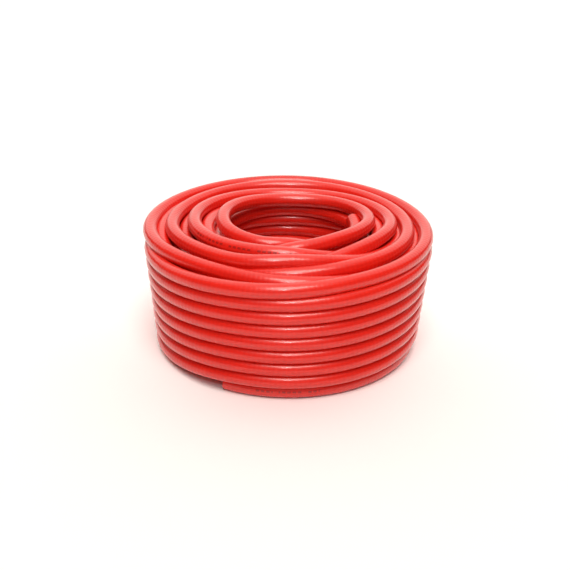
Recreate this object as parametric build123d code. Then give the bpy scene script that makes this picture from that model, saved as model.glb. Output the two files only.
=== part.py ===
"""Coiled air hose: one length of braid-reinforced PVC hose, wound into a drum-shaped coil.

Millimetres, +Z up.  The origin is on the floor, on the coil's axis, and -Y is the side where
the turns step up from row to row.  The hose is one piece of three bonded layers: a smooth
inner liner, a braid of textile yarn and an outer cover.  Its wound length is one closed
solid, and each free end is a real tube of the three layers, open at its bore.
"""
from build123d import *
from math import cos, radians, sin, tan
import os

# the hose
hose_diameter = 16.0         # over the cover
bore_diameter = 10.0
liner_wall = 1.2             # smooth inner layer
braid_thickness = 0.6        # textile yarn between liner and cover

# the winding
row_count = 9                # turns stacked in the outermost layer
row_pitch = 15.8             # the turns bed into each other a little
rim_radius = 158.0           # centreline of the outermost turn in the top row
foot_radius = 145.0          # centreline of the outermost turn in the bottom row
crown_rise = 10.0            # the top turns stand this much higher beside the eye
eye_turn_radius = 79.0       # centreline of the innermost turn at the top
eye_wall_radius = 98.0       # centreline of the turns that line the eye farther down
eye_wall_height = 80.0       # where that lining starts to close in
side_clearance = 0.3         # beside each free end, in the groove where it lies

# the outer end: it lies on the floor, tucked under the next turn, and points clockwise
outer_end_inset = 8.0        # how far it is tucked in
outer_end_angle = 240.0      # where the cut face is, seen from above
outer_end_straight = 48.0    # first run, from the cut face
outer_end_sweep = 45.0       # how far it bends before it is part of the winding
outer_end_bends = 3

# the inner end: it leaves the innermost turn at the front and runs back along the eye
inner_end_drop = 5.0         # below the innermost turn's centreline
inner_end_inset = 5.0        # how much tighter its curve is than the innermost turn
inner_end_start = -10.0      # where it leaves that turn, left of the coil's axis
inner_end_sweep = 90.0       # from the front round to the right
inner_end_bends = 5
inner_end_straight = 44.0    # last run, to the cut face

arc_share = 0.45             # of the shorter run, taken by each arc
outer_way_out = 75.0         # kept free ahead of the outer cut face, for a hose tail
inner_way_out = 60.0         # and ahead of the inner one
hose_radius = hose_diameter / 2
liner_radius = bore_diameter / 2 + liner_wall
braid_radius = liner_radius + braid_thickness
rim_height = hose_diameter + (row_count - 1) * row_pitch
coil_height = rim_height + crown_rise
outer_end_radius = foot_radius - outer_end_inset
outer_end_turn = outer_end_sweep / outer_end_bends
outer_run = 2 * outer_end_radius * tan(radians(outer_end_turn / 2))
inner_end_turn = inner_end_sweep / inner_end_bends
inner_run = 2 * (eye_turn_radius - inner_end_inset) * tan(radians(inner_end_turn / 2))


def step(point, heading, distance):
    """The point that lies a distance away along a heading in degrees, at the same height."""
    turn = radians(heading)
    return Vector(point.X + distance * cos(turn), point.Y + distance * sin(turn), point.Z)


def outer_end_points():
    """From the cut face along the bottom row, round the foot of the coil."""
    face = radians(outer_end_angle)
    heading = outer_end_angle + 90 + outer_end_turn / 2
    point = Vector(outer_end_radius * cos(face), outer_end_radius * sin(face), hose_radius)
    points = [point]
    for bend in range(outer_end_bends + 1):
        point = step(point, heading, outer_run if bend else outer_end_straight)
        points.append(point)
        heading += outer_end_turn
    return points


def inner_end_points():
    """From the innermost turn at the front to the cut face, inside the eye."""
    height = coil_height - hose_radius - inner_end_drop
    point = Vector(inner_end_start, -eye_turn_radius, height)
    points = [point]
    heading = 0.0
    for bend in range(inner_end_bends + 1):
        last = bend == inner_end_bends
        point = step(point, heading, inner_end_straight if last else inner_run)
        points.append(point)
        heading += inner_end_turn
    return points


def bend_radii(points):
    """The radius of the arc at each corner, as large as its two runs allow."""
    radii = []
    for before, corner, after in zip(points, points[1:], points[2:]):
        turn = radians((corner - before).get_angle(after - corner))
        shorter = min((corner - before).length, (after - corner).length)
        radii.append(arc_share * shorter / tan(turn / 2))
    return radii


def route(points):
    return FilletPolyline(*points, radius=bend_radii(points))


def layer(path, outer_radius, inner_radius):
    """One layer of the hose along a path."""
    section = Plane(path @ 0, z_dir=path % 0) * (Circle(outer_radius) - Circle(inner_radius))
    return sweep(section, path=path)


def channel(path, inward, outward, below, above):
    """A square cut along a path, with its reach to each side of it."""
    outward_way = (path % 0).cross(Vector(0, 0, 1))
    plane = Plane(path @ 0, x_dir=outward_way, z_dir=path % 0)   # its y is downward
    centre = Pos((outward - inward) / 2, (below - above) / 2)
    section = plane * centre * Rectangle(inward + outward, below + above)
    return sweep(section, path=path)


def wound_hose():
    """The wound length: a thick ring, wider at the top, with rounded rims, a top that rises
    towards the open eye, and an eye that closes in towards the top."""
    corners = [
        (eye_wall_radius - hose_radius, 0),
        (foot_radius + hose_radius, 0),
        (rim_radius + hose_radius, rim_height),
        (eye_turn_radius - hose_radius, coil_height),
        (eye_wall_radius - hose_radius, eye_wall_height),
    ]
    outline = Polyline(*corners, close=True)
    half_section = Plane.XZ * fillet(make_face(outline).vertices(), hose_radius - 1)
    return revolve(half_section, axis=Axis.Z)


def outer_groove(path):
    """Where the outer end lies: open outward and below, and ahead of its cut face."""
    bed = hose_radius + side_clearance
    reach = (bed, hose_diameter * 2, hose_diameter, bed)
    ahead = Line((path @ 0) - (path % 0) * outer_way_out, path @ 0)
    return channel(path, *reach) + channel(ahead, *reach)


def inner_groove(path):
    """Where the inner end lies: open inward and above, and ahead of its cut face."""
    bed = hose_radius + side_clearance
    reach = (hose_diameter * 2, bed, bed, hose_diameter * 2)
    ahead = Line(path @ 1, (path @ 1) + (path % 1) * inner_way_out)
    return channel(path, *reach) + channel(ahead, *reach)


outer_path = route(outer_end_points())
inner_path = route(inner_end_points())

nodes = {"coil": wound_hose() - outer_groove(outer_path) - inner_groove(inner_path)}
for end_name, path in (("outer_end", outer_path), ("inner_end", inner_path)):
    nodes[end_name + "_cover"] = layer(path, hose_radius, braid_radius)
    nodes[end_name + "_braid"] = layer(path, braid_radius, liner_radius)
    nodes[end_name + "_liner"] = layer(path, liner_radius, bore_diameter / 2)

os.makedirs("parts", exist_ok=True)
for name, solid in nodes.items():
    solid.label = name
    export_step(solid, f"parts/{name}.step")

for end_name, points, path in (
    ("outer end", outer_end_points(), outer_path),
    ("inner end", inner_end_points(), inner_path),
):
    print(end_name, "length", round(path.length, 1))
    print(end_name, "bend radii", [round(radius, 1) for radius in bend_radii(points)])
    print(end_name, "runs from", path @ 0, "to", path @ 1, "along", path % 0, "to", path % 1)
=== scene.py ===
import math
import bpy
import numpy as np
from mathutils import Euler, Matrix


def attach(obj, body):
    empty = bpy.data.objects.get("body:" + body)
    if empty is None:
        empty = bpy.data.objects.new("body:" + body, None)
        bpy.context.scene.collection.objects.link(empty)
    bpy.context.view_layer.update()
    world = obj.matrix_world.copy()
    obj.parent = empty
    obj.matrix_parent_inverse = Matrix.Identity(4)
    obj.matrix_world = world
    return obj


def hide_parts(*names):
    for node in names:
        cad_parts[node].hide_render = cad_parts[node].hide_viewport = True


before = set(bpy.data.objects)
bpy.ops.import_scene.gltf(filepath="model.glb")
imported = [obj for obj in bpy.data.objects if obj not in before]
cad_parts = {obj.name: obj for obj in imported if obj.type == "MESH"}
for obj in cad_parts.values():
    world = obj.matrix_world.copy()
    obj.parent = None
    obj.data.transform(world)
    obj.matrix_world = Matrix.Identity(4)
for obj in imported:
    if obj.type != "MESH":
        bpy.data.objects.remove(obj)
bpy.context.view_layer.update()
print("frame loaded:", sorted(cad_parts))

scene = bpy.context.scene

# one hose, bonded from three layers, in metres
hose = {
    "diameter": 0.016,
    "bore": 0.010,
    "linerWall": 0.0012,
    "braidThickness": 0.0006,
    "cutEdge": 0.0003,        # the knife leaves a slightly broken edge
    "boreDepth": 0.060,       # how far the open bore is made at each end
    "sides": 22,
    "stepsPerPoint": 2,       # rings for each control point of the route
    "sharpAngle": 35,         # edges that turn by more degrees than this stay sharp
}

# the coil, in hose diameters: rows go up in odd layers and down in even ones
winding = {
    "pointsPerTurn": 36,
    "startPoint": -3,         # control points before the front, where the outer end is cut
    "endPoint": 11,           # and past the front, where the inner end is cut
    "startTrim": 0.3,         # of the first step, cut off the outer end
    "rows": 9,
    "layers": 5,
    "pitch": 0.985,
    "lowest": 0.5,            # centreline of a turn that lies on the floor
    "firstLift": 0.06,        # the rows above the bottom one stand this much higher
    "footRadius": 9.05,
    "rimRadius": 9.66,
    "layerStep": 0.87,
    "lean": 0.29,             # the top row stands this much higher on the right
    "leanPower": 1.5,         # and a lower row less, by this power of its share of the height
    "tuck": 0.30,             # how far the first turn lies under the second
    "tuckAngle": 20,          # where it lies deepest, in degrees past the front
    "climbAngle": -44,        # the middle of a turn's climb over the one below it
    "climbHalf": 30,          # half the angle that the climb takes
    "evenShare": (0.33, 0.68),  # of the climb that is spread round the turn: bottom and top rows
    "joinTurns": 1.25,        # before the end of the outermost layer, where it joins the top
    "joinLength": 0.3,        # of a turn, in which it does
}

# the turns in view on top and round the eye: degrees past the front, radius, height
topTurns = {
    8: ((0, 9.64, 8.05), (23, 9.34, 8.15), (45, 9.40, 8.25), (90, 9.64, 8.33), (180, 9.65, 8.63),
        (270, 9.78, 8.22), (292, 9.24, 8.22), (315, 8.60, 8.21), (337, 8.25, 8.10)),
    9: ((0, 8.40, 8.00), (45, 8.45, 7.60), (90, 8.98, 7.72), (180, 8.85, 7.95),
        (270, 8.93, 8.05), (315, 8.45, 7.35)),
    25: ((0, 7.40, 8.15), (23, 7.52, 8.32), (45, 7.93, 8.47), (90, 8.33, 8.54), (180, 8.05, 8.81),
         (270, 8.22, 8.49), (315, 7.32, 8.55), (337, 7.28, 8.66)),
    26: ((0, 6.82, 8.78), (23, 6.85, 8.55), (45, 7.02, 8.12), (90, 7.75, 7.90), (180, 7.30, 8.15),
         (270, 7.42, 8.38), (315, 6.75, 7.95)),
    42: ((0, 6.30, 7.95), (23, 6.22, 8.35), (45, 6.35, 8.70), (66, 6.65, 8.80), (90, 7.15, 8.74),
         (180, 6.55, 8.62), (270, 6.62, 8.91), (315, 6.20, 8.90), (337, 5.95, 8.90)),
    43: ((0, 5.88, 8.87), (23, 5.85, 8.45), (45, 5.75, 7.95), (90, 6.36, 8.15), (180, 6.10, 7.70),
         (270, 5.69, 8.35), (315, 5.50, 8.00)),
    44: ((0, 5.60, 7.20), (90, 6.15, 7.10), (180, 5.50, 7.05), (270, 5.60, 7.20)),
    45: ((0, 5.30, 7.20), (90, 5.45, 7.70), (180, 5.20, 7.95), (270, 4.95, 7.80), (337, 4.95, 8.15)),
    46: ((0, 4.86, 8.75), (23, 4.66, 8.90), (45, 4.82, 9.05), (66, 5.10, 9.03), (90, 5.60, 8.97),
         (180, 4.60, 8.87), (270, 4.56, 9.22), (315, 4.70, 9.03), (337, 4.46, 8.87)),
    47: ((0, 3.97, 8.75), (23, 3.72, 8.35), (45, 3.95, 8.10), (66, 4.35, 8.15), (90, 4.75, 8.35),
         (110, 4.95, 8.45)),
}

# how the turns press each other into place
settling = {
    "touching": 0.96,         # turns bed into each other a little
    "steps": 200,
    "pushShare": 0.6,         # of an overlap, taken away in one step
    "smoothings": 2,
    "smoothShare": 0.5,       # of the way to its neighbours' mean that a shift is moved
    "firmEnd": 0.3,           # turns before the end of the outermost layer where it goes out of view
    "firmEase": 0.04,         # how readily the turns in view give way, next to 1 for the rest
    "firmHold": 0.96,         # what they keep of their shift from step to step
    "ownGap": 9,              # stands for a turn's distance from itself, which pushes nothing
}


# the wall of a layer: its radius goes evenly from foot to rim, less one step for each layer
def wallRadius(share, layer):
    foot, rim = winding["footRadius"], winding["rimRadius"]
    return foot + (rim - foot) * share - layer * winding["layerStep"]


# a few places on every turn, in order along the hose: turn, radius and height. A hidden turn has
# three, on the right, at the back and on the left, and leans by the cosine of its angle
def stations():
    w = winding
    places = []
    for layer in range(w["layers"]):
        rising = layer % 2 == 0
        count = w["rows"] if rising else w["rows"] - 1
        for row in range(count):
            level = row if rising else count - row - 0.5
            share = level / (w["rows"] - 1)
            radius = wallRadius(share, layer)
            height = w["lowest"] + level * w["pitch"]
            lean = w["lean"] * share ** w["leanPower"]
            places.append([(90, radius, height + lean), (180, radius, height),
                           (270, radius, height - lean)])
    places += [None] * (max(topTurns) + 1 - len(places))
    for turn, place in topTurns.items():
        places[turn] = place
    knots = [(turn + degrees / 360, radius, height)
             for turn, place in enumerate(places) for degrees, radius, height in place]
    return np.array(knots, float)


# number, angle, and radius with height, of every control point. With t from 0 to 1 between two
# stations, each one's place counts by (1 + 2t)(1 - t)^2 and its slope by t(1 - t)^2, and the
# other way round for the next one; a slope comes from the two neighbours. The outermost layer
# takes its climb as a half wave of sine at the front, mixed with an even rise all round
def windingPoints():
    w = winding
    knots = stations()
    n = w["pointsPerTurn"]
    index = np.arange(w["startPoint"], max(topTurns) * n + w["endPoint"] + 1)
    turn = index / n
    crossing = np.round(turn).astype(int)
    degrees = (turn - crossing) * 360
    angle = turn * 2 * math.pi - math.pi / 2
    at, place = knots[:, 0], knots[:, 1:]
    slope = np.gradient(place, at, axis=0)
    k = np.clip(np.searchsorted(at, turn) - 1, 0, len(at) - 2)
    span = at[k + 1] - at[k]
    t = ((turn - at[k]) / span)[:, None]
    span = span[:, None]
    value = (place[k] * (1 + 2 * t) * (1 - t) ** 2 + slope[k] * span * t * (1 - t) ** 2
             + place[k + 1] * t * t * (3 - 2 * t) - slope[k + 1] * span * t * t * (1 - t))
    # the outermost layer
    row = np.clip(crossing, 1, w["rows"] - 1)
    evenShare = np.interp(row, (1, w["rows"] - 1), w["evenShare"])
    reach = np.clip((degrees - w["climbAngle"]) / w["climbHalf"], -1, 1)
    wave = np.sin(reach * math.pi / 2) / 2 + 0.5
    climb = (1 - evenShare) * wave + evenShare * (degrees / 360 + 0.5)
    level = np.where(crossing > 0, crossing - 1 + climb, 0)
    share = level / (w["rows"] - 1)
    tuck = w["tuck"] * np.cos(np.radians((degrees - w["tuckAngle"]) / 2)) ** 2
    radius = wallRadius(share, 0) - np.where(crossing > 0, 0, tuck)
    lean = w["lean"] * share ** w["leanPower"] * np.cos(angle)
    height = w["lowest"] + level * w["pitch"] + w["firstLift"] * np.clip(level, 0, 1) + lean
    outer = np.stack([radius, height], -1)
    fade = np.clip((turn - (w["rows"] - w["joinTurns"])) / w["joinLength"], 0, 1)
    fade = (fade * fade * (3 - 2 * fade))[:, None]
    return index, angle, outer * (1 - fade) + value * fade


# the way and the distance from each turn to every other one in its half-plane
def gaps(held):
    gap = held[:, :, None] - held[:, None]
    return gap, np.sqrt((gap ** 2).sum(-1)) + np.eye(held.shape[1])[None] * settling["ownGap"]


# turns that cross the same half-plane push each other apart, each by its share of how readily
# the two give way, until they only touch; each shift is smoothed along the hose, and the floor
# holds the lowest turns up
def settle(index, target):
    s = settling
    n = winding["pointsPerTurn"]
    column, row = index % n, index // n - index[0] // n
    rows = row.max() + 1
    held = np.full((n, rows, 2), np.nan)
    outermost = index / n < winding["rows"] - s["firmEnd"]
    firm = outermost | np.isin(np.round(index / n).astype(int), list(topTurns))
    eases = np.full((n, rows), 1.0)
    eases[column, row] = np.where(firm, s["firmEase"], 1.0)
    portion = eases[:, :, None] / (eases[:, :, None] + eases[:, None])
    portion = portion * np.maximum(eases[:, :, None], eases[:, None])
    point = target.copy()
    for step in range(s["steps"]):
        held[column, row] = point
        gap, far = gaps(held)
        push = np.clip(s["touching"] - far, 0, None) * portion
        move = np.nansum(gap / far[..., None] * push[..., None], axis=2) * s["pushShare"]
        shift = point + move[column, row] - target
        for smoothing in range(s["smoothings"]):
            mean = (shift[:-2] + shift[2:]) / 2
            shift[1:-1] += s["smoothShare"] * (mean - shift[1:-1])
        shift *= np.where(firm, s["firmHold"], 1.0)[:, None]
        point = target + shift
        point[:, 1] = np.maximum(point[:, 1], winding["lowest"])
    held[column, row] = point
    least = np.nanmin(gaps(held)[1][column, row], axis=1)
    print("turns settled; closest two", round(least.min(), 2), "diameters apart")
    return point


# points along the smooth curve whose control points are given
def splinePoints(points, steps):
    data = bpy.data.curves.new("hoseRoute", "CURVE")
    data.dimensions = "3D"
    data.resolution_u = steps
    spline = data.splines.new("NURBS")
    spline.points.add(len(points) - 1)
    spline.points.foreach_set("co", np.c_[points, np.ones(len(points))].ravel())
    spline.order_u = 3
    spline.use_endpoint_u = True
    route = bpy.data.objects.new("hoseRoute", data)
    mesh = bpy.data.meshes.new_from_object(route)
    line = np.zeros(len(mesh.vertices) * 3, np.float32)
    mesh.vertices.foreach_get("co", line)
    bpy.data.objects.remove(route)
    bpy.data.meshes.remove(mesh)
    bpy.data.curves.remove(data)
    return line.reshape(-1, 3).astype(float)


# at each point: along the hose, level and square to it, and square to both
def directions(line):
    tangent = np.gradient(line, axis=0)
    tangent /= np.linalg.norm(tangent, axis=1)[:, None]
    side = np.cross(tangent, (0, 0, 1))
    side /= np.linalg.norm(side, axis=1)[:, None]
    return tangent, side, np.cross(side, tangent)


# rings of the given radii round the picked points of the route, each moved a little along it,
# joined in order: centre + radius x (cosine x side + sine x up). They close on themselves, or
# end in a pole at each end. The UV map runs from 0 to 1 round the hose and in metres along it
def ringMesh(name, pick, radius, shift, looped):
    rings, sides = len(pick), hose["sides"]
    turn = np.arange(sides) / sides * 2 * math.pi
    centre = line[pick] + tangent[pick] * shift[:, None]
    sideways = np.cos(turn)[None, :, None] * side[pick][:, None]
    upwards = np.sin(turn)[None, :, None] * up[pick][:, None]
    points = (centre[:, None] + radius[:, None, None] * (sideways + upwards)).reshape(-1, 3)
    metres = along[pick] + shift
    first = np.arange(rings if looped else rings - 1)
    i, j = np.meshgrid(first, np.arange(sides), indexing="ij")
    after, k = (i + 1) % rings, (j + 1) % sides
    faces = np.stack([i * sides + j, after * sides + j, after * sides + k, i * sides + k], -1)
    faces = faces.reshape(-1, 4).tolist()
    u = np.stack([j, j, j + 1, j + 1], -1) / sides
    v = np.stack([metres[i], metres[after], metres[after], metres[i]], -1)
    places = np.stack([u, v], -1).reshape(-1, 2)
    if not looped:
        j = np.arange(sides)
        k = (j + 1) % sides
        last = (rings - 1) * sides
        pole = rings * sides
        points = np.concatenate([points, centre[:1], centre[-1:]])
        faces += np.stack([j, k, np.full(sides, pole)], -1).tolist()
        faces += np.stack([last + k, last + j, np.full(sides, pole + 1)], -1).tolist()
        fans = np.repeat(metres[[0, -1]], sides * 3)
        places = np.concatenate([places, np.stack([fans, fans], -1)])
    mesh = bpy.data.meshes.new(name)
    mesh.from_pydata(points.tolist(), [], faces)
    uv = mesh.uv_layers.new(name="hoseMap")
    uv.data.foreach_set("uv", places.astype(np.float32).ravel())
    mesh.polygons.foreach_set("use_smooth", np.ones(len(mesh.polygons), bool))
    mesh.update()
    mesh.set_sharp_from_angle(angle=math.radians(hose["sharpAngle"]))
    piece = bpy.data.objects.new(name, mesh)
    scene.collection.objects.link(piece)
    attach(piece, "root")
    return piece


# the cover's wall: out of one bore, over the cut edge, along the hose and into the other bore
def coverRings(outer, inner, edge, deep):
    last = len(line) - 1
    bore = np.arange(deep, -1, -1)
    middle = np.arange(1, last)
    pick = np.concatenate([bore, [0, 0], middle, [last, last], last - bore[::-1]])
    wall = np.full(deep + 1, inner)
    outside = np.full(len(middle), outer)
    radius = np.concatenate([wall, [outer - edge, outer], outside, [outer, outer - edge], wall])
    still = np.zeros(deep + 1)
    shift = np.concatenate([still, [0, edge], np.zeros(len(middle)), [-edge, 0], still])
    return pick, radius, shift


# one inner layer at a cut end: out along its outside and back along its inside
def endRings(outer, inner, deep, farEnd):
    bore = np.arange(deep, -1, -1)
    pick = np.concatenate([bore, bore[::-1]])
    radius = np.concatenate([np.full(deep + 1, outer), np.full(deep + 1, inner)])
    if farEnd:
        pick = len(line) - 1 - pick
        radius = radius[::-1]
        pick = pick[::-1]
    return pick, radius, np.zeros(len(pick))


# the hose's route: the curve takes 3/4 of the nearest control point and 1/8 of each neighbour,
# so that the points stand a little farther out than the turns
nearShare = 0.75
index, angle, target = windingPoints()
radius, height = settle(index, target).T
stretch = 1 / (nearShare + (1 - nearShare) * math.cos(2 * math.pi / winding["pointsPerTurn"]))
x = radius * stretch * np.cos(angle)
y = radius * stretch * np.sin(angle)
controls = np.stack([x, y, height], -1) * hose["diameter"]
controls[0] += (controls[1] - controls[0]) * winding["startTrim"]
line = splinePoints(controls, hose["stepsPerPoint"])
along = np.concatenate([[0], np.cumsum(np.linalg.norm(np.diff(line, axis=0), axis=1))])
tangent, side, up = directions(line)
print("hose length", round(along[-1], 3), "m, rings", len(line))

# the hose: its cover all along, and its braid and liner where the cut ends show them
outside = hose["diameter"] / 2
linerOutside = hose["bore"] / 2 + hose["linerWall"]
braidOutside = linerOutside + hose["braidThickness"]
deep = int(np.searchsorted(along, hose["boreDepth"]))
cover = ringMesh("hose_cover", *coverRings(outside, braidOutside, hose["cutEdge"], deep), False)
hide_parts("coil", "outer_end_cover", "inner_end_cover")
innerWalls = {"braid": (braidOutside, linerOutside), "liner": (linerOutside, hose["bore"] / 2)}
layers = {}
for end, farEnd in (("outer_end", False), ("inner_end", True)):
    for layer, (outer, inner) in innerWalls.items():
        piece = ringMesh(end + "_" + layer + "_tube", *endRings(outer, inner, deep, farEnd), True)
        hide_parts(end + "_" + layer)
        layers[end + layer] = piece
print("pieces made:", [piece.name for piece in (cover, *layers.values())])


# a colour for a shader, from its sRGB hex code: the gamma curve undone
def colour(hexCode):
    parts = np.array([int(hexCode[i:i + 2], 16) / 255 for i in (0, 2, 4)])
    linear = np.where(parts < 0.04045, parts / 12.92, ((parts + 0.055) / 1.055) ** 2.4)
    return (*linear, 1)


# adds a node with its settings, sets or links its inputs, and gives one output
def node(tree, kind, inputs=(), output=0, **settings):
    made = tree.nodes.new(kind)
    for name, value in settings.items():
        setattr(made, name, value)
    for socket, value in dict(inputs).items():
        if isinstance(value, bpy.types.NodeSocket):
            tree.links.new(value, made.inputs[socket])
        else:
            made.inputs[socket].default_value = value
    return made.outputs[output]


# a new material, with the given values set on its shader
def material(name, values):
    made = bpy.data.materials.new(name)
    made.use_nodes = True
    for socket, value in values.items():
        made.node_tree.nodes["Principled BSDF"].inputs[socket].default_value = value
    return made


# soft PVC, extruded: a clear red with a bright line of gloss along every turn. The braid under
# it lifts it in rows of low diamonds, which break that line up and vary the red a little, and
# three short rows of small dark dashes stand where such a hose has its printed line
vinyl = {
    "red": "ec2818",
    "deepRed": "d61a10",
    "roughness": 0.38,
    "specular": 0.25,
    "coat": 0.8,
    "coatRoughness": 0.2,
    "diamondLength": 0.0049,  # the yarns cross about every 5 mm, along the hose and round it
    "diamondsRound": 10,
    "relief": 0.00024,
    "diamondShare": 0.35,     # of the lighter red, that comes with the diamonds
    "patchShare": 0.6,        # and with broad patches
    "patchSize": 0.045,
    "patchDetail": 2.0,
    "ink": "7a1c18",
    "inkShare": 0.6,          # how far the ink covers the red
    "marks": ((0.035, 0.10, 12), (8.0, 8.1, 100), (32.52, 32.64, 27)),  # from, to, degrees up
    "markHeight": 0.0022,
    "dash": 0.0052,           # one dash and its gap
    "dashShare": 0.65,        # of that length, that is inked
    "dashGroup": 0.0295,      # a group of dashes and the gap after it
    "groupShare": 0.8,
}
pvc = material("glossyVinyl", {
    "Roughness": vinyl["roughness"],
    "Specular IOR Level": vinyl["specular"],
    "Coat Weight": vinyl["coat"],
    "Coat Roughness": vinyl["coatRoughness"],
})
tree = pvc.node_tree
shader = tree.nodes["Principled BSDF"]
place = node(tree, "ShaderNodeUVMap", uv_map="hoseMap")
around = node(tree, "ShaderNodeSeparateXYZ", {0: place}, output="X")
lengthwise = around.node.outputs["Y"]

# diamonds: half the sum of one cosine round the hose and one along it, brought to 0 to 1
roundPhase = node(tree, "ShaderNodeMath", {0: around, 1: 2 * math.pi * vinyl["diamondsRound"]},
                  operation="MULTIPLY")
longPhase = node(tree, "ShaderNodeMath", {0: lengthwise, 1: 2 * math.pi / vinyl["diamondLength"]},
                 operation="MULTIPLY")
roundWave = node(tree, "ShaderNodeMath", {0: roundPhase}, operation="COSINE")
longWave = node(tree, "ShaderNodeMath", {0: longPhase}, operation="COSINE")
waves = node(tree, "ShaderNodeMath", {0: roundWave, 1: longWave}, operation="ADD")
diamond = node(tree, "ShaderNodeMath", {0: waves, 1: 0.25, 2: 0.5}, operation="MULTIPLY_ADD")
bump = node(tree, "ShaderNodeBump", {"Height": diamond, "Distance": vinyl["relief"], "Strength": 1.0})
tree.links.new(bump, shader.inputs["Normal"])

# the two reds; sockets 6 and 7 of a Mix node, and its output 2, are its colours
where = node(tree, "ShaderNodeTexCoord", output="Object")
patches = node(tree, "ShaderNodeTexNoise", {"Vector": where, "Scale": 1 / vinyl["patchSize"],
                                            "Detail": vinyl["patchDetail"]})
patchAmount = node(tree, "ShaderNodeMath", {0: patches, 1: vinyl["patchShare"]}, operation="MULTIPLY")
amount = node(tree, "ShaderNodeMath", {0: diamond, 1: vinyl["diamondShare"], 2: patchAmount},
              operation="MULTIPLY_ADD")
reds = node(tree, "ShaderNodeMix", {0: amount, 6: colour(vinyl["deepRed"]), 7: colour(vinyl["red"])},
            output=2, data_type="RGBA")

# dashes: inked where both the dash and its group are on, inside the stretches given by marks
dashes = vinyl["inkShare"]
for period, share in ((vinyl["dash"], vinyl["dashShare"]), (vinyl["dashGroup"], vinyl["groupShare"])):
    count = node(tree, "ShaderNodeMath", {0: lengthwise, 1: period}, operation="DIVIDE")
    part = node(tree, "ShaderNodeMath", {0: count}, operation="FRACT")
    on = node(tree, "ShaderNodeMath", {0: part, 1: share}, operation="LESS_THAN")
    dashes = node(tree, "ShaderNodeMath", {0: on, 1: dashes}, operation="MULTIPLY")
halfHeight = vinyl["markHeight"] / 2 / (math.pi * hose["diameter"])
inside = 0.0
for start, end, upward in vinyl["marks"]:
    within = node(tree, "ShaderNodeMath", {0: lengthwise, 1: (start + end) / 2, 2: (end - start) / 2},
                  operation="COMPARE")
    level = node(tree, "ShaderNodeMath", {0: around, 1: upward / 360, 2: halfHeight},
                 operation="COMPARE")
    inside = node(tree, "ShaderNodeMath", {0: within, 1: level, 2: inside}, operation="MULTIPLY_ADD")
inked = node(tree, "ShaderNodeMath", {0: inside, 1: dashes}, operation="MULTIPLY")
worn = node(tree, "ShaderNodeMix", {0: inked, 6: reds, 7: colour(vinyl["ink"])}, output=2,
            data_type="RGBA")
tree.links.new(worn, shader.inputs["Base Color"])
cover.data.materials.append(pvc)

# polyester yarn, braided: pale and dull, a thin light ring in each cut face. Its strands are too
# fine to show
yarn = {"colour": "e6d9cc", "roughness": 0.85}
# the liner's PVC, smooth but unpolished: a deeper red inside the open bores
lining = {"colour": "b0150f", "roughness": 0.5}
braided = material("polyesterYarn", {"Base Color": colour(yarn["colour"]), "Roughness": yarn["roughness"]})
lined = material("boreVinyl", {"Base Color": colour(lining["colour"]), "Roughness": lining["roughness"]})
for name, piece in layers.items():
    piece.data.materials.append(braided if name.endswith("braid") else lined)
print("materials made:", pvc.name, braided.name, lined.name)

# matt white paper: an even pale ground with no reflections
paper = {"colour": "fdfdfd", "roughness": 0.9, "half": 6.0}
half = paper["half"]
floorMesh = bpy.data.meshes.new("floor")
floorMesh.from_pydata([(-half, -half, 0), (half, -half, 0), (half, half, 0), (-half, half, 0)], [],
                      [(0, 1, 2, 3)])
floor = bpy.data.objects.new("floor", floorMesh)

# backdrop: a shallow bowl under the floor that rises all round it, with the square of the
# distance past its flat middle; it is only looked at and throws no light or shadow
bowl = {"flat": 5.0, "reach": 33.0, "rise": 0.01, "drop": 0.02, "cells": 66}
across = np.linspace(-bowl["reach"], bowl["reach"], bowl["cells"] + 1)
x, y = np.meshgrid(across, across)
z = bowl["rise"] * np.clip(np.hypot(x, y) - bowl["flat"], 0, None) ** 2 - bowl["drop"]
i, j = np.meshgrid(np.arange(bowl["cells"]), np.arange(bowl["cells"]), indexing="ij")
corner = i * (bowl["cells"] + 1) + j
above = corner + bowl["cells"] + 1
bowlMesh = bpy.data.meshes.new("backdrop")
bowlMesh.from_pydata(np.stack([x, y, z], -1).reshape(-1, 3).tolist(), [],
                     np.stack([corner, corner + 1, above + 1, above], -1).reshape(-1, 4).tolist())
bowlMesh.polygons.foreach_set("use_smooth", np.ones(len(bowlMesh.polygons), bool))
backdrop = bpy.data.objects.new("backdrop", bowlMesh)
backdrop.visible_diffuse = False
backdrop.visible_glossy = False
backdrop.visible_shadow = False
white = material("whitePaper", {"Base Color": colour(paper["colour"]), "Roughness": paper["roughness"]})
for stand in (floor, backdrop):
    scene.collection.objects.link(stand)
    stand.data.materials.append(white)
print("floor and backdrop made")

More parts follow.
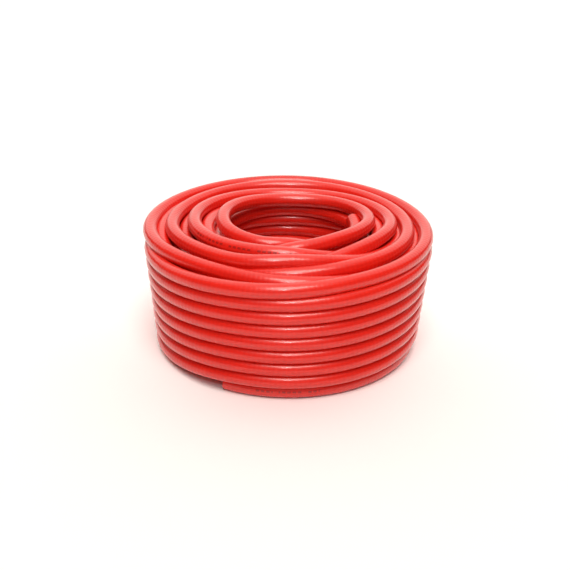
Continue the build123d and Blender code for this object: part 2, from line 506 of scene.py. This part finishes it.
# soft studio light: a softbox overhead, a weak broad one in front, one behind, a dim room, and
# a narrow beam from the front on the top of the coil
lamps = {
    "key": {"strength": 2.1, "breadth": 32, "elevation": 65, "azimuth": 6},
    "fill": {"strength": 0.25, "breadth": 60, "elevation": 40, "azimuth": 0},
    "back": {"strength": 2.15, "breadth": 100, "elevation": 48, "azimuth": 180},
}
beam = {"power": 90.0, "distance": 1.5, "elevation": 42, "cone": 10, "blend": 1.0, "radius": 0.2,
        "height": 0.13}
room = {"lampTint": "fff8f0", "colour": "ffffff", "strength": 0.03}
world = bpy.data.worlds.new("studio")
scene.world = world
world.use_nodes = True
world.node_tree.nodes["Background"].inputs["Color"].default_value = colour(room["colour"])
world.node_tree.nodes["Background"].inputs["Strength"].default_value = room["strength"]
for name, values in lamps.items():
    lamp = bpy.data.lights.new(name, "SUN")
    lamp.energy = values["strength"]
    lamp.angle = math.radians(values["breadth"])
    lamp.color = colour(room["lampTint"])[:3]
    softbox = bpy.data.objects.new(name, lamp)
    softbox.rotation_euler = (math.radians(90 - values["elevation"]), 0, math.radians(values["azimuth"]))
    scene.collection.objects.link(softbox)
lamp = bpy.data.lights.new("beam", "SPOT")
lamp.energy = beam["power"]
lamp.spot_size = math.radians(beam["cone"])
lamp.spot_blend = beam["blend"]
lamp.shadow_soft_size = beam["radius"]
snoot = bpy.data.objects.new("beam", lamp)
rise = math.radians(beam["elevation"])
snoot.location = (0, -beam["distance"] * math.cos(rise),
                  beam["height"] + beam["distance"] * math.sin(rise))
snoot.rotation_euler = (math.pi / 2 - rise, 0, 0)
scene.collection.objects.link(snoot)
scene.view_settings.view_transform = "Standard"
print("lights made:", *lamps, "beam")

# the camera; distance and aim are in hose diameters, lens and sensor in millimetres
camera = {
    "elevation": 25.03,
    "distance": 64,
    "lens": 56.0653,
    "sensor": 36,
    "aim": (-0.183, -0.4, 4.155),
    "roll": 1.03,
}
tilt = math.radians(camera["elevation"])
eye = bpy.data.cameras.new("camera")
eye.sensor_width = camera["sensor"]
eye.lens = camera["lens"]
viewer = bpy.data.objects.new("camera", eye)
away = np.array([0, -math.cos(tilt), math.sin(tilt)]) * camera["distance"]
viewer.location = (np.array(camera["aim"]) + away) * hose["diameter"]
look = Euler((math.pi / 2 - tilt, 0, 0)).to_matrix() @ Matrix.Rotation(math.radians(camera["roll"]), 3, "Z")
viewer.rotation_euler = look.to_euler()
scene.collection.objects.link(viewer)
scene.camera = viewer
print("camera placed")
